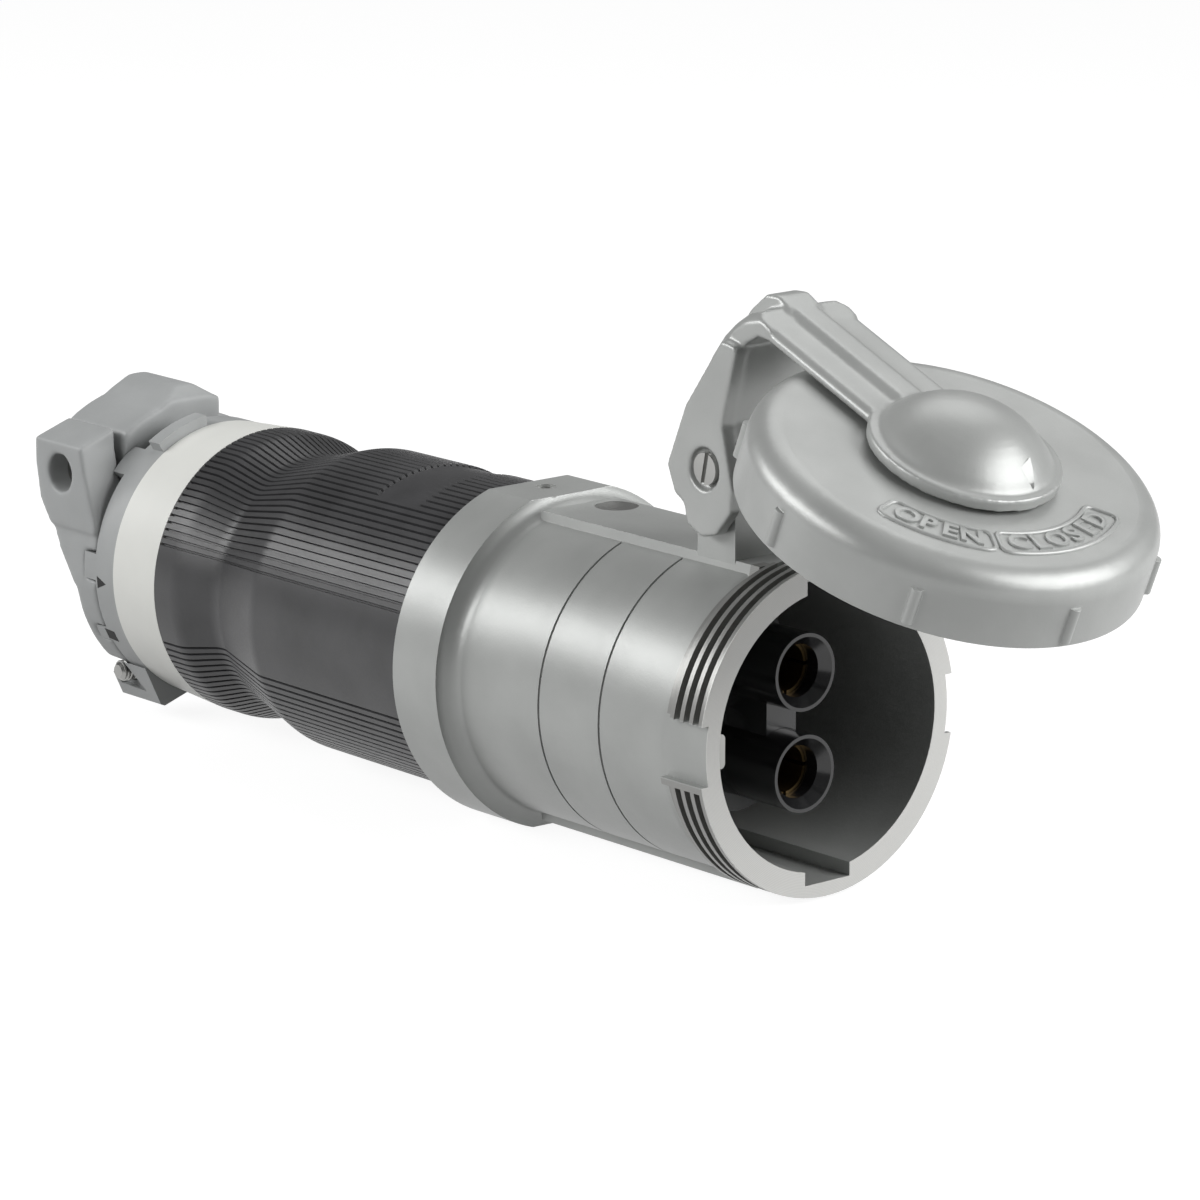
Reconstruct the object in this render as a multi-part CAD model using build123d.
from build123d import *
import math
import os

# Pin and sleeve connector with a hinged screw lid, in millimetres.
# X runs along the connector and points out of its mouth, Z is up, Y completes the frame.
# The origin is the centre of the mouth's face. The lid stands open at rest.

# Driving sizes of the shell
BORE_R = 33.0
LAND_WALL = 3.9
CREST_RISE = 2.0
BODY_WALL = 4.3
SEAT_WALL = 1.0
COLLAR_WALL = 5.3
FLAT_DEPTH = 1.8
BODY_LENGTH = 90.0
COLLAR_LENGTH = 16.0
STEP_LENGTH = 4.5
SEAT_SETBACK = 4.0

LAND_R = BORE_R + LAND_WALL
CREST_R = LAND_R + CREST_RISE
BODY_R = BORE_R + BODY_WALL
SEAT_BORE_R = BODY_R - SEAT_WALL
COLLAR_R = SEAT_BORE_R + COLLAR_WALL
COLLAR_FLAT = COLLAR_R - FLAT_DEPTH
INSULATOR_SEAT = BODY_LENGTH - SEAT_SETBACK
COLLAR_REAR = -(BODY_LENGTH + COLLAR_LENGTH)

# Interrupted ring thread round the mouth
RIDGE_COUNT = 4
RIDGE_PITCH = 3.2
RIDGE_WIDTH = 1.3
LAND_HALF = 7.0
THREAD_LENGTH = 14.0
STOP_WIDTH = 1.8

# Pad on top and foot rail below
PAD_HALF = 11.3
PAD_RISE = 0.3
PAD_DRAFT = 0.8
PAD_FRONT = 11.2
PAD_BACK = BODY_LENGTH - 2.5
PAD_TOP = BODY_R + PAD_RISE
RING_LINES = (36.5, 57.8)
RING_LINE_WIDTH = 0.7
RING_LINE_DEPTH = 0.45

# Keyways in the mouth
KEY_HALF = 6.85
KEY_DEPTH = 2.5
KEY_LENGTH = 60.0

# Ground shoe, pad plug and set screw
SHOE_HALF = 4.0
SHOE_STAND = 3.0
SHOE_SINK = 2.0
SHOE_LENGTH = 36.0
SHOE_RECESS = 1.5
PLUG_R = 5.2
PLUG_SETBACK = 10.0
PLUG_Y = 5.4
PLUG_DEPTH = 3.0
PLUG_X = -(BODY_LENGTH - PLUG_SETBACK)
SET_SCREW_R = 2.5
SET_SCREW_SOCKET_R = 1.3

# Contacts and insulators
CONTACT_Z = 11.9
CONTACT_BORE_R = 5.6
CONTACT_WALL = 1.6
SHOULDER_RISE = 1.4
CONTACT_SHOULDER = 3.8
SLEEVE_WALL = 1.8
SLEEVE_LIP_GAP = 0.6
SLEEVE_LEAD = 2.5
SLEEVE_EDGE = 0.85
SLEEVE_FRONT = -8.0
SLEEVE_LIP = 6.5
PEDESTAL_WALL = 4.1
PEDESTAL_FRONT = -30.0
DISC_LENGTH = 24.0
WEB_HALF = 4.5
WEB_FRONT = -16.0
CONTACT_SOCKET = 44.0
CONTACT_SLOT = 0.9
CONTACT_SLOT_LENGTH = 36.0
CONTACT_TAIL = 28.0
WIRE_WELL_R = 4.8
WIRE_WELL_DEPTH = 20.0
WIRE_SCREW_R = 2.5
INSULATOR_FLANGE = 6.0
REAR_INSULATOR = 14.0
INSULATOR_SCREW_R = 2.0
INSULATOR_SCREW_HEAD_R = 3.6
INSULATOR_SCREW_Y = 20.0

# Handle and its band
HANDLE_LENGTH = 101.3
HANDLE_SHOULDER = 2.0
LIP_SETBACK = 41.3
LIP_DROP = 0.3
WAIST_SETBACK = 19.8
WAIST_DROP = 6.1
BULGE_SETBACK = 8.3
BAND_DROP = 1.8
BAND_TAPER = 1.2
LIP_FILLET = 14.0
WAIST_FILLET = 8.0
BULGE_FILLET = 12.0
BAND_LENGTH = 19.0
BAND_WALL = 1.6
SPIGOT_WALL = 4.2
CHAMBER_WALL = 5.3
WAIST_WALL = 4.7
CHAMBER_STEP = 7.0

HANDLE_FRONT_R = SEAT_BORE_R + HANDLE_SHOULDER
BAND_FRONT = COLLAR_REAR - HANDLE_LENGTH
BAND_REAR = BAND_FRONT - BAND_LENGTH
BAND_FRONT_R = HANDLE_FRONT_R - BAND_DROP
BAND_REAR_R = BAND_FRONT_R - BAND_TAPER
HANDLE_LIP = (BAND_FRONT + LIP_SETBACK, HANDLE_FRONT_R - LIP_DROP)
HANDLE_WAIST = (BAND_FRONT + WAIST_SETBACK, HANDLE_FRONT_R - WAIST_DROP)
HANDLE_BULGE = (BAND_FRONT + BULGE_SETBACK, BAND_FRONT_R)
CHAMBER_R = BAND_REAR_R - CHAMBER_WALL
CHAMBER_WAIST_R = HANDLE_WAIST[1] - WAIST_WALL

# Grip grooves along the handle, as angles from the near side up
GROOVE_PITCH = 6.0
GROOVE_WIDTH = 0.9
GROOVE_DEPTH = 0.85
GROOVE_MARGIN = 1.5
UPPER_GROOVES = (19.0, 161.0)
LOWER_GROOVES = (-159.5, -20.5)
PANEL_START = 18.7
PANEL_LENGTH = 16.8
PANEL_ANGLES = (61.0, 119.0)

# Cable clamp
RING_LENGTH = 7.5
RING_BORE_R = 22.0
TOOTH_LENGTH = 4.7
TOOTH_WALL = 3.0
RING_SPIGOT = 12.0
RING_SPIGOT_WALL = 4.0
LIP_RING_RISE = 2.7
LIP_RING_LENGTH = 4.7
FOOT_LENGTH = 16.7
CLAMP_LENGTH = 29.2
BRIDGE_SETBACK = 4.2
BRIDGE_RISE = 4.7
BRIDGE_FAR = 8.0
BRIDGE_LOW = 15.0
CROWN_HALF = 10.0
CROWN_RIDGE = 3.0
CROWN_RISE = 7.4
CROWN_SLOPE = 5.0
JAW_WALL = 9.0
JAW_END = 4.3
JAW_BOSS_LOW = 10.0
JAW_BOSS_RISE = 3.8
JAW_BOSS_DEPTH = 11.0
CABLE_R = 12.0
CABLE_GAP = 0.5
BUSHING_LENGTH = 12.0
BOLT_R = 3.5
BOLT_HEAD_R = 4.8
BOLT_SETBACK = 15.2
BOLT_DROP = 7.8
NUT_R = 6.4
NUT_DEPTH = 4.0
LOWER_BOLT_R = 3.0
LOWER_BOLT_SETBACK = 4.8
LOWER_BOLT_RISE = 3.0
LOWER_HEAD_R = 4.3
LOWER_HEAD_SINK = 11.3
WINDOW_SINK = 14.8

RING_R = BAND_REAR_R
RING_REAR = BAND_REAR - RING_LENGTH
TOOTH_REAR = RING_REAR - TOOTH_LENGTH
FOOT_R = RING_R + BRIDGE_RISE
CLAMP_REAR = RING_REAR - CLAMP_LENGTH
BRIDGE_FRONT = RING_REAR - BRIDGE_SETBACK
JAW_FACE = RING_R - 0.3
JAW_TOP = RING_R - JAW_END
JAW_LOW = -JAW_TOP
JAW_BOSS_INNER = JAW_FACE - JAW_BOSS_DEPTH
JAW_PAD = CABLE_R + CABLE_GAP
UPPER_BOLT = (RING_REAR - BOLT_SETBACK, JAW_TOP - BOLT_DROP)
LOWER_BOLT = (RING_REAR - LOWER_BOLT_SETBACK, JAW_LOW + LOWER_BOLT_RISE)
LOWER_SEAT = RING_R - LOWER_HEAD_SINK

# Lid hinge
HINGE_X = -25.6
HINGE_RISE = 20.7
HINGE_Z = PAD_TOP + HINGE_RISE
BOSS_R = 6.4
BOSS_HALF = 11.5
EAR_GAP = 0.4
EAR_WALL = 3.6
HINGE_PIN_R = 3.0
HINGE_HEAD_R = 3.7
HINGE_HEAD = 1.4
HINGE_SLOT = 1.2
OPEN_ANGLE = 67.56

# Lid, drawn closed on the mouth
RIM_GAP = 3.6
LID_TOP = 9.9
LID_RIM = -7.4
LID_EDGE = 6.6
LID_WALL = 4.5
LID_SEAT = 2.3
LID_FLOOR = 6.4
LUG_GAP = 0.7
LUG_HALF = 4.6
LUG_WIDTH = 1.2
TICK_COUNT = 8
TICK_START = 39.5
TICK_R = 1.4
TICK_FRONT = 2.5
TICK_REAR = -6.2
GASKET_OVERLAP = 1.5
STUD_R = 4.0
STUD_HEAD_R = 6.5
STUD_HEAD = 2.4
WASHER_R = 8.0
WASHER = 1.0

LID_INNER_R = CREST_R + RIM_GAP
LID_R = LID_INNER_R + LID_WALL
GASKET_R = LAND_R + GASKET_OVERLAP
GASKET_INNER_R = BORE_R - GASKET_OVERLAP
LID_RECESS_R = GASKET_INNER_R - GASKET_OVERLAP

# Lid arm, drawn with the lid closed
ARM_GAP = 1.1
BAR_WALL = 3.0
BAR_HALF = 13.4
BAR_BEVEL = 1.5
RIB_HALF = 3.15
RIB_FLARE = 1.6
RIB_RISE = 1.7
ELBOW_DROP = 0.3
ELBOW_EDGE = 2.0
DOME_R = 22.1
DOME_FLANGE = 2.9
DOME_RISE = 10.1
STUD_DEPTH = 8.0

BAR_BOTTOM = LID_TOP + ARM_GAP
BAR_TOP = BAR_BOTTOM + BAR_WALL
ELBOW_Z = HINGE_Z - ELBOW_DROP
DOME_CAP_R = DOME_R - DOME_FLANGE
# Side view of an ear, from the hinge's centre
EAR_OUTLINE = (
    (-12.0, -9.4), (-15.2, -5.2), (-14.8, 0.5), (-11.0, 3.0), (-10.5, 6.7), (-5.6, 11.6), (10.3, 11.4),
    (30.3, 6.4), (31.4, 1.3), (12.4, -1.4), (0.5, -10.1), (-4.9, -11.7))
EAR_ROUND = 1.5
# Side view of the elbow, from the bar's top face at the elbow's height
ELBOW_OUTLINE = (
    (-26.0, 12.0), (-17.0, 11.6), (-10.3, 9.7), (-5.7, 7.4), (-1.7, 4.6), (0.8, 1.0),
    (0.0, -5.0), (-3.0, -5.0), (-4.0, -1.5), (-9.2, 2.5), (-26.0, 6.5))
ELBOW_BACK = -26.0
ELBOW_FRONT = -9.2

# Clearances
SLIDE = 0.3
FIT = 0.05
WASHER_GAP = 0.1
CONTACT_GAP = 0.1
HEAD_GAP = 1.2

CONTACT_R = CONTACT_BORE_R + CONTACT_WALL
SHOULDER_R = CONTACT_R + SHOULDER_RISE
CONTACT_HOLE_R = CONTACT_R + CONTACT_GAP
SLEEVE_R = CONTACT_HOLE_R + SLEEVE_WALL
SLEEVE_HOLE_R = CONTACT_BORE_R + SLEEVE_LIP_GAP
PEDESTAL_R = SLEEVE_R + PEDESTAL_WALL
DISC_FRONT = -(INSULATOR_SEAT - DISC_LENGTH)
FLANGE_REAR = -(INSULATOR_SEAT + INSULATOR_FLANGE)
SLEEVE_REAR = FLANGE_REAR + CONTACT_SHOULDER + CONTACT_GAP
REAR_INSULATOR_REAR = FLANGE_REAR - REAR_INSULATOR
SET_SCREW_X = COLLAR_REAR + 6.5


def rod_x(x0, x1, radius, y=0.0, z=0.0):
    """Round bar along X."""
    return Pos((x0 + x1) / 2, y, z) * Rot(0, 90, 0) * Cylinder(radius, abs(x1 - x0))


def rod_y(y0, y1, radius, x, z):
    """Round bar along Y."""
    return Pos(x, (y0 + y1) / 2, z) * Rot(90, 0, 0) * Cylinder(radius, abs(y1 - y0))


def rod_z(z0, z1, radius, x, y):
    """Round bar along Z."""
    return Pos(x, y, (z0 + z1) / 2) * Cylinder(radius, abs(z1 - z0))


def tube_x(x0, x1, outer, inner):
    """Straight tube along X, centred on the connector's axis."""
    return rod_x(x0, x1, outer) - rod_x(x0 - 1, x1 + 1, inner)


def block(x0, x1, y0, y1, z0, z1):
    """Box between two corners."""
    centre = Pos((x0 + x1) / 2, (y0 + y1) / 2, (z0 + z1) / 2)
    return centre * Box(x1 - x0, y1 - y0, z1 - z0)


def turned(*edges):
    """Solid of revolution about X, from edges drawn on the XZ plane with z as the radius."""
    return revolve(Plane.XZ * make_face(edges), Axis.X)


def turned_points(points):
    """Solid of revolution about X, from corner points (x, radius)."""
    return turned(*Polyline(*points, close=True).edges())


def side_profile(points, y0, y1, fillet_r=0.0):
    """Prism along Y, from corner points (x, z) with rounded corners."""
    face = make_face(Polyline(*points, close=True))
    if fillet_r:
        face = fillet(face.vertices(), fillet_r)
    return Pos(0, y1, 0) * (Plane.XZ * extrude(face, y1 - y0))


def opened(shape):
    """Swing a shape from the closed lid's place to the open one."""
    return shape.rotate(Axis((HINGE_X, 0, HINGE_Z), (0, 1, 0)), -OPEN_ANGLE)


def shell_turned():
    """The shell's turned outside, from the mouth to the collar, with flats above and below."""
    step = -(BODY_LENGTH - STEP_LENGTH)
    outline = Polyline(
        (0, 0), (0, LAND_R), (-THREAD_LENGTH, LAND_R), (-THREAD_LENGTH - 1, BODY_R), (step, BODY_R))
    bend_x = -(BODY_LENGTH - STEP_LENGTH * 0.3)
    bend_r = BODY_R + (COLLAR_R - BODY_R) * 0.3
    bend = ThreePointArc((step, BODY_R), (bend_x, bend_r), (-BODY_LENGTH, COLLAR_R))
    back = Polyline((-BODY_LENGTH, COLLAR_R), (COLLAR_REAR, COLLAR_R), (COLLAR_REAR, 0), (0, 0))
    shell = turned(*outline.edges(), bend, *back.edges())
    above = block(COLLAR_REAR - 1, step, -COLLAR_R, COLLAR_R, COLLAR_FLAT, COLLAR_R + 5)
    return shell - above - above.mirror(Plane.XY)


def shell_hollow():
    """The shell's inside: the mouth's bore and the wider seat of the insulator and the handle."""
    return turned_points([
        (1, 0), (1, BORE_R), (-INSULATOR_SEAT, BORE_R), (-INSULATOR_SEAT, SEAT_BORE_R),
        (COLLAR_REAR - 1, SEAT_BORE_R), (COLLAR_REAR - 1, 0)])


def ring_thread():
    """Two sectors of annular ridges, with a stop bar at one end of each plain land."""
    ridges = [
        tube_x(-i * RIDGE_PITCH - RIDGE_WIDTH, -i * RIDGE_PITCH, CREST_R, LAND_R - 1)
        for i in range(RIDGE_COUNT)]
    lands = block(-THREAD_LENGTH, 1, -CREST_R - 1, CREST_R + 1, -LAND_HALF, LAND_HALF)
    ridges = [ridge - lands for ridge in ridges]
    bar = block(-THREAD_LENGTH, 0, -CREST_R, -LAND_R + 1, -LAND_HALF - STOP_WIDTH, -LAND_HALF)
    bar = bar & rod_x(-THREAD_LENGTH, 0, CREST_R)
    return [*ridges, bar, Rot(180, 0, 0) * bar]


def pad():
    """Flat pad along the top of the shell, with slightly drafted sides."""
    section = Polyline(
        (-PAD_HALF - PAD_DRAFT, BORE_R + 1), (-PAD_HALF, PAD_TOP), (PAD_HALF, PAD_TOP),
        (PAD_HALF + PAD_DRAFT, BORE_R + 1), close=True)
    return Pos(-PAD_BACK, 0, 0) * (Plane.YZ * extrude(make_face(section), PAD_BACK - PAD_FRONT))


def hinge_boss():
    """Boss on the pad that carries the lid's hinge pin."""
    stem = block(HINGE_X - BOSS_R, HINGE_X + BOSS_R, -BOSS_HALF, BOSS_HALF, BORE_R + 2, HINGE_Z)
    return stem + rod_y(-BOSS_HALF, BOSS_HALF, BOSS_R, HINGE_X, HINGE_Z)


def keyway(sign):
    """Keyway in the mouth, below with sign -1 and above with sign 1."""
    slot = block(-KEY_LENGTH, 1, -KEY_HALF, KEY_HALF, BORE_R - 4, BORE_R + KEY_DEPTH)
    return slot if sign > 0 else slot.mirror(Plane.XY)


def front_housing():
    shell = shell_turned()
    for x in RING_LINES:
        half = RING_LINE_WIDTH / 2
        cutter = tube_x(-x - half, -x + half, BODY_R + 1, BODY_R - RING_LINE_DEPTH)
        shell -= cutter
    shell += pad()
    shell += pad().mirror(Plane.XY)
    shell += ring_thread()
    shell += hinge_boss()
    shell -= shell_hollow()
    shell -= keyway(1)
    shell -= keyway(-1)
    shell -= shoe_form(FIT)
    shell -= rod_y(-BOSS_HALF - 1, BOSS_HALF + 1, HINGE_PIN_R + FIT, HINGE_X, HINGE_Z)
    shell -= rod_z(PAD_TOP - PLUG_DEPTH, PAD_TOP + 1, PLUG_R, PLUG_X, PLUG_Y)
    shell -= rod_z(SEAT_BORE_R - 2, COLLAR_FLAT + 1, SET_SCREW_R, SET_SCREW_X, 0)
    return shell


def shoe_form(grow=0.0):
    """The ground shoe's outer form, grown by a clearance for its pocket."""
    outer = BORE_R + SHOE_SINK + grow
    half = SHOE_HALF + grow
    body = block(-SHOE_LENGTH - grow, -SHOE_RECESS + grow, -outer, -BORE_R + SHOE_STAND, -half, half)
    return body


def ground_shoe():
    shoe = shoe_form()
    inner = shoe.edges().filter_by(Axis.X).group_by(Axis.Y)[-1]
    return fillet(inner, 1.2)


def pad_plug():
    return rod_z(PAD_TOP - PLUG_DEPTH, PAD_TOP - 0.1, PLUG_R - FIT, PLUG_X, PLUG_Y)


def housing_set_screw():
    screw = rod_z(SEAT_BORE_R + FIT, COLLAR_FLAT - 0.8, SET_SCREW_R - FIT, SET_SCREW_X, 0)
    socket = Pos(SET_SCREW_X, 0, COLLAR_FLAT - 0.8) * extrude(RegularPolygon(SET_SCREW_SOCKET_R, 6), -1.6)
    return screw - socket


def at_contacts(shape):
    """The same shape on the upper and the lower contact's axis."""
    return [Pos(0, 0, z) * shape for z in (CONTACT_Z, -CONTACT_Z)]


def contact_insulator():
    """Moulding that seats in the shell: flange, disc and the two joined pedestals of the sleeves."""
    flange_r = SEAT_BORE_R - FIT
    body = turned_points([
        (FLANGE_REAR, 0), (DISC_FRONT, 0), (DISC_FRONT, BORE_R - SLIDE), (-INSULATOR_SEAT, BORE_R - SLIDE),
        (-INSULATOR_SEAT, flange_r), (FLANGE_REAR, flange_r)])
    body += at_contacts(rod_x(DISC_FRONT - 1, PEDESTAL_FRONT, PEDESTAL_R))
    body += block(PEDESTAL_FRONT - 1, WEB_FRONT, -WEB_HALF, WEB_HALF, -CONTACT_Z, CONTACT_Z)
    body -= at_contacts(rod_x(FLANGE_REAR - 1, WEB_FRONT + 1, SLEEVE_R + FIT))
    for y in (-INSULATOR_SCREW_Y, INSULATOR_SCREW_Y):
        body -= rod_x(FLANGE_REAR - 1, DISC_FRONT - 12, INSULATOR_SCREW_R + FIT, y)
    return body


def contact_sleeve(z):
    """Insulating sleeve round one contact, with a lead-in and a narrower lip in front."""
    lip = SLEEVE_FRONT - SLEEVE_LIP
    sleeve = turned_points([
        (SLEEVE_FRONT, SLEEVE_R - SLEEVE_EDGE), (SLEEVE_FRONT, SLEEVE_R), (SLEEVE_REAR, SLEEVE_R),
        (SLEEVE_REAR, CONTACT_HOLE_R), (lip, CONTACT_HOLE_R), (lip, SLEEVE_HOLE_R),
        (SLEEVE_FRONT - SLEEVE_LEAD, SLEEVE_HOLE_R)])
    return Pos(0, 0, z) * sleeve


def rear_insulator():
    rear_r = SEAT_BORE_R - SPIGOT_WALL - SLIDE
    body = rod_x(REAR_INSULATOR_REAR, FLANGE_REAR, rear_r)
    body -= at_contacts(rod_x(REAR_INSULATOR_REAR - 1, FLANGE_REAR + 1, CONTACT_HOLE_R))
    for y in (-INSULATOR_SCREW_Y, INSULATOR_SCREW_Y):
        body -= rod_x(REAR_INSULATOR_REAR - 1, FLANGE_REAR + 1, INSULATOR_SCREW_R + FIT, y)
    return body


def insulator_screws():
    """Two screws from the rear disc into the front insulator."""
    screws = []
    for y in (-INSULATOR_SCREW_Y, INSULATOR_SCREW_Y):
        shank = rod_x(DISC_FRONT - 12.5, REAR_INSULATOR_REAR, INSULATOR_SCREW_R, y)
        head = rod_x(REAR_INSULATOR_REAR - 2.5, REAR_INSULATOR_REAR, INSULATOR_SCREW_HEAD_R, y)
        slot = block(REAR_INSULATOR_REAR - 3, REAR_INSULATOR_REAR - 1.4, y - 0.5, y + 0.5, -5, 5)
        screws.append(shank + head - slot)
    return Compound(children=screws)


def contact(z):
    """Turned brass contact: split socket in front, shoulder, and a wire well at the rear."""
    front = SLEEVE_FRONT - SLEEVE_LIP - 2 * CONTACT_GAP
    rear = FLANGE_REAR - CONTACT_TAIL
    shoulder = FLANGE_REAR + CONTACT_SHOULDER
    body = turned_points([
        (front, CONTACT_BORE_R), (front, CONTACT_R), (shoulder, CONTACT_R), (shoulder, SHOULDER_R),
        (FLANGE_REAR, SHOULDER_R), (FLANGE_REAR, CONTACT_R), (rear, CONTACT_R), (rear, WIRE_WELL_R),
        (rear + WIRE_WELL_DEPTH, WIRE_WELL_R), (rear + WIRE_WELL_DEPTH, 0), (front - CONTACT_SOCKET, 0),
        (front - CONTACT_SOCKET, CONTACT_BORE_R)])
    half = CONTACT_SLOT / 2
    cross = block(front - CONTACT_SLOT_LENGTH, front + 1, -half, half, -CONTACT_R - 1, CONTACT_R + 1)
    body -= [cross, Rot(90, 0, 0) * cross]
    side = 1 if z > 0 else -1
    screw_x = rear + WIRE_WELL_DEPTH / 2
    body -= rod_z(0, side * (CONTACT_R + 1), WIRE_SCREW_R + FIT, screw_x, 0)
    return Pos(0, 0, z) * body


def contact_wire_screws():
    """One pressure screw in each contact's wire well."""
    screw_x = FLANGE_REAR - CONTACT_TAIL + WIRE_WELL_DEPTH / 2
    screws = []
    for side in (1, -1):
        tip = side * (CONTACT_Z + 2.0)
        head = side * (CONTACT_Z + CONTACT_R + 1.2)
        screw = rod_z(tip, head, WIRE_SCREW_R, screw_x, 0)
        slot_z = sorted((head - side * 1.0, head + side * 1.0))
        screws.append(screw - block(screw_x - 4, screw_x + 4, -0.4, 0.4, *slot_z))
    return Compound(children=screws)


def handle_outline(grow=0.0):
    """The handle's outer line, from the collar back to the band, moved out by grow."""
    front, rear = (COLLAR_REAR, HANDLE_FRONT_R), (BAND_FRONT, BAND_FRONT_R)
    corners = [front, HANDLE_LIP, HANDLE_WAIST, HANDLE_BULGE, rear]
    corners = [(x, radius + grow) for x, radius in corners]
    return FilletPolyline(*corners, radius=[LIP_FILLET, WAIST_FILLET, BULGE_FILLET])


def grip_grooves():
    """Cutters of the grooves along the handle, which follow its outer line at one depth."""
    out = handle_outline(1.0)
    deep = handle_outline(-GROOVE_DEPTH)
    skin = turned(*out.edges(), *deep.edges(), Line(out @ 0, deep @ 0), Line(out @ 1, deep @ 1))
    bar = block(
        BAND_FRONT + GROOVE_MARGIN, COLLAR_REAR - GROOVE_MARGIN, -HANDLE_FRONT_R - 2, -CHAMBER_WAIST_R,
        -GROOVE_WIDTH / 2, GROOVE_WIDTH / 2)
    one = skin & bar
    cutters = []
    for start, end in (UPPER_GROOVES, LOWER_GROOVES):
        count = int((end - start) / GROOVE_PITCH) + 1
        first = (start + end - (count - 1) * GROOVE_PITCH) / 2
        cutters += [Rot(-first - i * GROOVE_PITCH, 0, 0) * one for i in range(count)]
    return cutters


def grip_panel():
    """Cutter of the plain sunk panel on top of the handle, where the grooves stop."""
    front = COLLAR_REAR - PANEL_START
    deep = HANDLE_FRONT_R - LIP_DROP - GROOVE_DEPTH
    return sector(front - PANEL_LENGTH, front, HANDLE_FRONT_R + 1, deep, *PANEL_ANGLES)


def handle_body():
    """Hollow handle: a spigot in the shell's collar, a grooved grip with a waist, and the band's seat."""
    spigot_r = SEAT_BORE_R - FIT
    spigot_bore = SEAT_BORE_R - SPIGOT_WALL
    band_seat_front = BAND_FRONT_R - BAND_WALL
    band_seat_rear = BAND_REAR_R - BAND_WALL
    waist_x = HANDLE_WAIST[0]
    rear_step = BAND_REAR + RING_SPIGOT + BUSHING_LENGTH
    line = handle_outline()
    rear = Polyline(
        (BAND_FRONT, BAND_FRONT_R), (BAND_FRONT, band_seat_front), (BAND_REAR, band_seat_rear),
        (BAND_REAR, CHAMBER_R), (rear_step, CHAMBER_R), (rear_step, CHAMBER_WAIST_R),
        (waist_x + CHAMBER_STEP, CHAMBER_WAIST_R), (waist_x + 2 * CHAMBER_STEP, spigot_bore),
        (FLANGE_REAR, spigot_bore), (FLANGE_REAR, spigot_r), (COLLAR_REAR, spigot_r),
        (COLLAR_REAR, HANDLE_FRONT_R))
    handle = turned(*line.edges(), *rear.edges())
    handle -= grip_grooves()
    return handle - grip_panel()


def rating_band():
    return turned_points([
        (BAND_FRONT - FIT, BAND_FRONT_R - BAND_WALL + FIT), (BAND_FRONT - FIT, BAND_FRONT_R),
        (BAND_REAR, BAND_REAR_R), (BAND_REAR, BAND_REAR_R - BAND_WALL + FIT)])


def cable_bushing():
    front = BAND_REAR + RING_SPIGOT + BUSHING_LENGTH
    body = tube_x(BAND_REAR + RING_SPIGOT, front, CHAMBER_R - 0.1, CABLE_R)
    return body


def sector(x0, x1, outer, inner, start, end):
    """Part of a ring round X, between two angles from the near side up."""
    ring = tube_x(x0, x1, outer, inner)
    reach = outer * 1.5
    corners = [(0, 0)]
    steps = 4
    for i in range(steps + 1):
        angle = math.radians(start + (end - start) * i / steps)
        corners.append((-reach * math.cos(angle), reach * math.sin(angle)))
    wedge = make_face(Polyline(*corners, close=True))
    wedge = Pos(x0, 0, 0) * (Plane.YZ * extrude(wedge, x1 - x0))
    return ring & wedge


TEETH = ((-3.0, 8.0), (-31.0, -25.0), (43.0, 57.0))


def ring_teeth(grow=0.0):
    """The castellations on the ring's rear edge, on both sides."""
    teeth = []
    inner = RING_R - TOOTH_WALL - grow
    for start, end in TEETH:
        spread = math.degrees(grow / RING_R)
        tooth = sector(
            TOOTH_REAR - grow, RING_REAR + 0.5, RING_R + grow, inner, start - spread, end + spread)
        teeth.append(tooth)
        teeth.append(tooth.mirror(Plane.XZ))
    return teeth


def lower_bolt_room():
    """Room for the lower bolt: a slanted near window round its tip, a round far seat for its head."""
    x, z = LOWER_BOLT
    window = side_profile(
        [(x - 7.4, z + 3.6), (x + 3.0, z + 2.8), (x + 7.9, z - 4.3), (x - 2.6, z - 3.9)], -FOOT_R,
        -RING_R + WINDOW_SINK)
    return [window, rod_y(LOWER_SEAT, FOOT_R, LOWER_HEAD_R + SLIDE, x, z)]


def foot():
    """Lug below the ring on the near side that carries the lower bolt, with a steep flat flank."""
    face = make_face(Polyline(
        (-RING_R + 9.6, -RING_R + 10.4), (-RING_R + 12.0, -RING_R + 5.3), (-RING_R + 14.4, -RING_R + 0.2),
        (-RING_R + 15.6, -RING_R - 0.3), (-RING_R + 23.0, -RING_R + 2.2), (-RING_R + 18.0, -RING_R + 6.0),
        close=True))
    rear = BAND_REAR - FOOT_LENGTH
    lug = Pos(rear, 0, 0) * (Plane.YZ * extrude(face, FOOT_LENGTH - SLIDE))
    behind = rod_x(rear - 1, RING_REAR, RING_R + SLIDE)
    return lug - behind


def clamp_ring():
    """Castellated ring on the handle's rear end, with its spigot, lip and the lower bolt's two lugs."""
    spigot_r = CHAMBER_R - 0.1
    ring = tube_x(RING_REAR, BAND_REAR, RING_R, RING_BORE_R)
    ring += tube_x(BAND_REAR - 1, BAND_REAR + RING_SPIGOT, spigot_r, spigot_r - RING_SPIGOT_WALL)
    ring += ring_teeth()
    lip = sector(
        BAND_REAR - LIP_RING_LENGTH, BAND_REAR - SLIDE, RING_R + LIP_RING_RISE, RING_R - 1, 58.0, 82.0)
    ring += lip
    ring += foot()
    ring += foot().mirror(Plane.XZ)
    ring -= lower_bolt_room()
    ring -= rod_y(-FOOT_R, FOOT_R, LOWER_BOLT_R + FIT, *LOWER_BOLT)
    return ring


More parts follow.
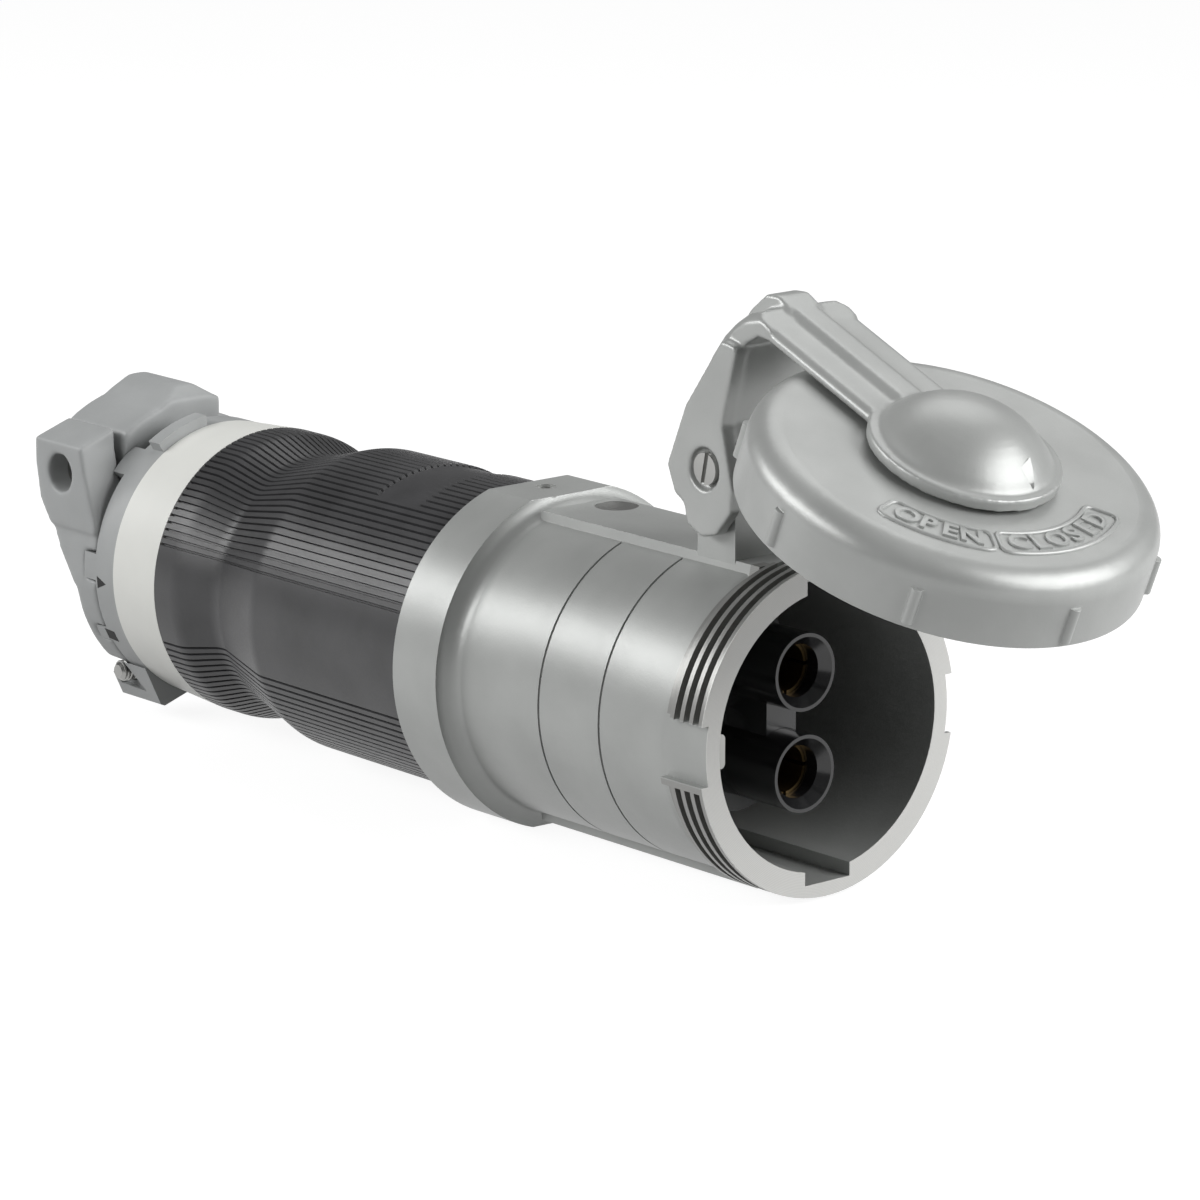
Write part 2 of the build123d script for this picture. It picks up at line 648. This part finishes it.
def jaw_outline():
    """Side view of a clamp jaw: bolt boss on top, tapering down to its tail."""
    rear = RING_REAR
    return [
        (rear - 25.9, JAW_TOP), (rear - 6.2, JAW_TOP), (rear - 4.8, JAW_TOP - 6),
        (rear - SLIDE, JAW_BOSS_LOW + 1),
        (rear - SLIDE, JAW_LOW), (rear - 9.5, JAW_LOW), (rear - 9.2, JAW_LOW + 24.8),
        (rear - 24.3, JAW_BOSS_LOW + 5.5), (rear - 25.9, JAW_TOP - 6.5)]


def behind_ring(y0, y1, z0, z1):
    """Block of all the room behind the ring between two heights and two sides."""
    return block(CLAMP_REAR - 1, RING_REAR, y0, y1, z0, z1)


def jaw_side():
    """What the two jaws share, drawn on the near side: the tapering wall, its tail and the cable pad."""
    low = side_profile(jaw_outline(), -JAW_FACE, -JAW_PAD)
    low = low & behind_ring(-JAW_FACE, 0, JAW_LOW, JAW_BOSS_LOW)
    low = low & tube_x(CLAMP_REAR - 1, RING_REAR, RING_R, RING_R - JAW_WALL)
    rear = RING_REAR - 23.2
    front = RING_REAR - 9.7
    grip = side_profile(
        [(rear, JAW_PAD), (rear, JAW_PAD - 3.5), (front, -JAW_PAD + 1.5), (front, JAW_PAD)],
        -RING_R + JAW_WALL - 3, -JAW_PAD)
    grip -= rod_x(rear - 3, front + 3, JAW_PAD, -4)
    side = low + grip
    side -= ring_teeth(SLIDE)
    side -= rod_y(-JAW_FACE - 1, 0, LOWER_BOLT_R + 0.1, *LOWER_BOLT)
    return side


def near_jaw():
    """The moving jaw on the near side, with the boss of the upper bolt."""
    boss = side_profile(jaw_outline(), -JAW_FACE, -JAW_BOSS_INNER)
    boss = boss & behind_ring(-JAW_FACE, 0, JAW_BOSS_LOW - 0.5, JAW_TOP)
    rise = Polyline(
        (-JAW_FACE, JAW_TOP - 1), (-JAW_FACE, JAW_TOP), (-JAW_BOSS_INNER, JAW_TOP + JAW_BOSS_RISE),
        (-JAW_BOSS_INNER, JAW_TOP - 1), close=True)
    rise = Pos(RING_REAR - 25.9, 0, 0) * (Plane.YZ * extrude(make_face(rise), 19.7))
    jaw = boss + rise + jaw_side()
    jaw -= ring_teeth(SLIDE)
    jaw -= lower_bolt_room()
    jaw -= rod_y(-JAW_FACE - 1, 0, BOLT_HEAD_R, *UPPER_BOLT)
    return jaw


def far_jaw():
    """The fixed jaw: its wall on the far side and the bridge that takes the upper bolt."""
    near = -JAW_BOSS_INNER + 2
    bridge = side_profile([
        (CLAMP_REAR, BRIDGE_LOW), (CLAMP_REAR, FOOT_R), (BRIDGE_FRONT, FOOT_R),
        (BRIDGE_FRONT, BRIDGE_LOW + 8), (BRIDGE_FRONT - 4, BRIDGE_LOW)], near, BRIDGE_FAR)
    bridge = bridge & rod_x(CLAMP_REAR, BRIDGE_FRONT, FOOT_R)
    web = sector(CLAMP_REAR, BRIDGE_FRONT - 4, RING_R, RING_R - JAW_WALL, 85.0, 170.0)
    crown_top = RING_R + CROWN_RISE
    crown = make_face(Polyline(
        (-CROWN_HALF, RING_R), (-CROWN_HALF, FOOT_R - 0.8), (-CROWN_RIDGE, crown_top),
        (CROWN_RIDGE - 1, crown_top), (BRIDGE_FAR, FOOT_R - 1.6), (BRIDGE_FAR, RING_R), close=True))
    crown = Pos(CLAMP_REAR, 0, 0) * (Plane.YZ * extrude(crown, BRIDGE_FRONT - CLAMP_REAR))
    slope = side_profile([
        (BRIDGE_FRONT - CROWN_SLOPE, crown_top + 1), (BRIDGE_FRONT + 1, crown_top + 1),
        (BRIDGE_FRONT + 1, FOOT_R - 1)], -CROWN_HALF - 1, BRIDGE_FAR + 1)
    jaw = bridge + web + (crown - slope) + jaw_side().mirror(Plane.XZ)
    jaw -= ring_teeth(SLIDE)
    jaw -= lower_bolt_room()
    jaw -= rod_y(near - 1, BRIDGE_FAR + 1, BOLT_R + FIT, *UPPER_BOLT)
    jaw -= rod_y(BRIDGE_FAR, BRIDGE_FAR + NUT_DEPTH + 2, NUT_R + 1, *UPPER_BOLT)
    return jaw


def upper_clamp_bolt():
    shank = rod_y(-JAW_BOSS_INNER - 2, BRIDGE_FAR + NUT_DEPTH + 1, BOLT_R, *UPPER_BOLT)
    head = rod_y(-JAW_BOSS_INNER - 5, -JAW_BOSS_INNER - 2, BOLT_HEAD_R - FIT, *UPPER_BOLT)
    return shank + head


def upper_clamp_nut():
    hexagon = extrude(RegularPolygon(NUT_R, 6), NUT_DEPTH)
    nut = Pos(UPPER_BOLT[0], BRIDGE_FAR, UPPER_BOLT[1]) * Rot(-90, 0, 0) * hexagon
    return nut - rod_y(0, JAW_FACE, BOLT_R + FIT, *UPPER_BOLT)


def lower_clamp_bolt():
    shank = rod_y(-LOWER_SEAT - 1.5, LOWER_SEAT, LOWER_BOLT_R, *LOWER_BOLT)
    return shank + rod_y(LOWER_SEAT, LOWER_SEAT + 3, LOWER_HEAD_R, *LOWER_BOLT)


def ear():
    """One hinge ear of the arm, with its rounded lobe behind the pin."""
    outline = [(HINGE_X + x, HINGE_Z + z) for x, z in EAR_OUTLINE]
    y0 = -BOSS_HALF - EAR_GAP - EAR_WALL
    return side_profile(outline, y0, y0 + EAR_WALL, EAR_ROUND)


def elbow():
    """The arm's bend between the ears and the bar, with its outer edges broken."""
    outline = [(BAR_TOP + x, ELBOW_Z + z) for x, z in ELBOW_OUTLINE]
    bend = side_profile(outline, -BAR_HALF, BAR_HALF)
    outer = [
        edge for edge in bend.edges()
        if abs(abs(edge.center().Y) - BAR_HALF) < 0.01 and any(
            abs(edge.center().X - (x0 + x1) / 2) + abs(edge.center().Z - (z0 + z1) / 2) < 0.01
            for (x0, z0), (x1, z1) in zip(outline[:5], outline[1:6]))]
    return chamfer(outer, ELBOW_EDGE)


def lid_arm():
    """Casting that carries the lid: two ears, the elbow, the ribbed bar and the dome."""
    half = BOSS_HALF + EAR_GAP + EAR_WALL
    near_ear = ear()
    section = Polyline(
        (BAR_BOTTOM, -BAR_HALF), (BAR_TOP - BAR_BEVEL, -BAR_HALF), (BAR_TOP, -BAR_HALF + BAR_BEVEL),
        (BAR_TOP, BAR_HALF - BAR_BEVEL), (BAR_TOP - BAR_BEVEL, BAR_HALF), (BAR_BOTTOM, BAR_HALF), close=True)
    bar_start = DOME_R - 8
    bar = Pos(0, 0, bar_start) * extrude(make_face(section), ELBOW_Z - 4 - bar_start)
    foot_half = RIB_HALF + RIB_FLARE
    rib_section = Polyline(
        (BAR_TOP - 1, -foot_half), (BAR_TOP, -foot_half), (BAR_TOP + RIB_RISE, -RIB_HALF),
        (BAR_TOP + RIB_RISE, RIB_HALF), (BAR_TOP, foot_half), (BAR_TOP - 1, foot_half), close=True)
    rib = Pos(0, 0, bar_start) * extrude(make_face(rib_section), ELBOW_Z - bar_start)
    rib += side_profile([
        (BAR_TOP + RIB_RISE, ELBOW_Z - 1), (BAR_TOP + 2.4, ELBOW_Z + 3.9), (BAR_TOP + 0.6, ELBOW_Z + 7.7),
        (BAR_TOP - 5.2, ELBOW_Z + 10.9), (BAR_TOP - 12.0, ELBOW_Z + 12.8), (BAR_TOP - 20.0, ELBOW_Z + 12.9),
        (BAR_TOP - 20.0, ELBOW_Z + 8.0), (BAR_TOP - 1, ELBOW_Z - 1)], -foot_half, foot_half)
    dome = turned(
        *Polyline((BAR_TOP + DOME_RISE, 0), (BAR_BOTTOM, 0), (BAR_BOTTOM, DOME_R), (BAR_TOP, DOME_R),
                  (BAR_TOP, DOME_CAP_R)).edges(),
        dome_arc())
    arm = near_ear + near_ear.mirror(Plane.XZ) + elbow() + bar + rib + dome
    cheek = block(
        BAR_TOP + ELBOW_BACK, BAR_TOP + ELBOW_FRONT, -half, -half + EAR_WALL, ELBOW_Z + 2.5, ELBOW_Z + 6.5)
    arm += cheek
    arm += cheek.mirror(Plane.XZ)
    arm -= rod_y(-half - 1, half + 1, HINGE_PIN_R + FIT, HINGE_X, HINGE_Z)
    arm -= rod_y(-half - 1, -half + HINGE_HEAD + 0.3, HINGE_HEAD_R + HEAD_GAP, HINGE_X, HINGE_Z)
    arm -= rod_x(BAR_BOTTOM - 1, BAR_BOTTOM + STUD_DEPTH, STUD_R)
    return opened(arm)


def dome_arc():
    """The dome's round back, from its flange up to its centre."""
    top = BAR_TOP + DOME_RISE
    ball_r = (DOME_CAP_R ** 2 + DOME_RISE ** 2) / (2 * DOME_RISE)
    mid_r = DOME_CAP_R * 0.55
    mid_x = top - ball_r + math.sqrt(ball_r ** 2 - mid_r ** 2)
    return ThreePointArc((BAR_TOP, DOME_CAP_R), (mid_x, mid_r), (top, 0))


def hinge_pin():
    half = BOSS_HALF + EAR_GAP + EAR_WALL
    pin = rod_y(-half + 0.3, half, HINGE_PIN_R, HINGE_X, HINGE_Z)
    pin += rod_y(-half + 0.3, -half + 0.3 + HINGE_HEAD, HINGE_HEAD_R, HINGE_X, HINGE_Z)
    edge = HINGE_SLOT / 2
    slot = block(HINGE_X - edge, HINGE_X + edge, -half - 1, -half + 1.1, HINGE_Z - 5, HINGE_Z + 5)
    return opened(pin) - Pos(HINGE_X, 0, HINGE_Z) * Rot(0, 12, 0) * Pos(-HINGE_X, 0, -HINGE_Z) * slot


def lid_cover():
    """Cup-shaped screw lid with a round edge and raised ticks on its rim."""
    edge_x = LID_TOP - LID_EDGE
    edge_r = LID_R - LID_EDGE
    lean = math.sqrt(0.5)
    arc = ThreePointArc(
        (edge_x, LID_R), (edge_x + LID_EDGE * lean, edge_r + LID_EDGE * lean), (LID_TOP, edge_r))
    face = Polyline(
        (LID_TOP, edge_r), (LID_TOP, STUD_R + FIT), (LID_FLOOR, STUD_R + FIT),
        (LID_FLOOR, LID_RECESS_R), (LID_SEAT, LID_RECESS_R), (LID_SEAT, LID_INNER_R),
        (LID_RIM, LID_INNER_R), (LID_RIM, LID_R), (edge_x, LID_R))
    lid = turned(arc, *face.edges())
    ticks = [
        Rot(TICK_START + i * 360 / TICK_COUNT, 0, 0) * rod_x(TICK_REAR, TICK_FRONT, TICK_R, LID_R - 0.2)
        for i in range(TICK_COUNT)]
    return opened(lid + ticks)


def lid_lugs():
    """Two lugs inside the lid's rim that turn in behind the second ridge."""
    x = -2 * RIDGE_PITCH + (RIDGE_PITCH - RIDGE_WIDTH) / 2
    ring = tube_x(x - LUG_WIDTH / 2, x + LUG_WIDTH / 2, LID_INNER_R, LAND_R + LUG_GAP)
    lug = ring & block(LID_RIM, 0, -LID_R, 0, -LUG_HALF, LUG_HALF)
    return Compound(children=[opened(lug), opened(Rot(180, 0, 0) * lug)])


def lid_gasket():
    return opened(tube_x(SLIDE, LID_SEAT, GASKET_R, GASKET_INNER_R))


def lid_stud():
    head_front = LID_FLOOR - WASHER_GAP - WASHER
    stud = rod_x(head_front - 0.5, BAR_BOTTOM + STUD_DEPTH, STUD_R)
    head = rod_x(head_front - STUD_HEAD, head_front, STUD_HEAD_R)
    head_rear = head_front - STUD_HEAD
    slot = block(head_rear - 1, head_rear + 1.1, -0.8, 0.8, -STUD_HEAD_R - 1, STUD_HEAD_R + 1)
    return opened(stud + head - slot)


def lid_washer():
    rear = LID_FLOOR - WASHER_GAP
    return opened(tube_x(rear - WASHER, rear, WASHER_R, STUD_R + FIT))


def thrust_washer():
    """Thrust washer between the lid and the dome."""
    return opened(tube_x(LID_TOP + SLIDE, BAR_BOTTOM, WASHER_R, STUD_R + FIT))


def build_parts():
    return {
        "front_housing": front_housing(),
        "ground_shoe": ground_shoe(),
        "pad_plug": pad_plug(),
        "housing_set_screw": housing_set_screw(),
        "contact_insulator": contact_insulator(),
        "upper_sleeve": contact_sleeve(CONTACT_Z),
        "lower_sleeve": contact_sleeve(-CONTACT_Z),
        "rear_insulator": rear_insulator(),
        "insulator_screws": insulator_screws(),
        "upper_contact": contact(CONTACT_Z),
        "lower_contact": contact(-CONTACT_Z),
        "contact_wire_screws": contact_wire_screws(),
        "handle_body": handle_body(),
        "rating_band": rating_band(),
        "cable_bushing": cable_bushing(),
        "clamp_ring": clamp_ring(),
        "near_clamp_jaw": near_jaw(),
        "far_clamp_jaw": far_jaw(),
        "upper_clamp_bolt": upper_clamp_bolt(),
        "upper_clamp_nut": upper_clamp_nut(),
        "lower_clamp_bolt": lower_clamp_bolt(),
        "hinge_pin": hinge_pin(),
        "lid_arm": lid_arm(),
        "lid_cover": lid_cover(),
        "lid_lugs": lid_lugs(),
        "lid_gasket": lid_gasket(),
        "lid_stud": lid_stud(),
        "lid_washer": lid_washer(),
        "thrust_washer": thrust_washer(),
    }


os.makedirs("parts", exist_ok=True)
for name, shape in build_parts().items():
    export_step(shape, f"parts/{name}.step")
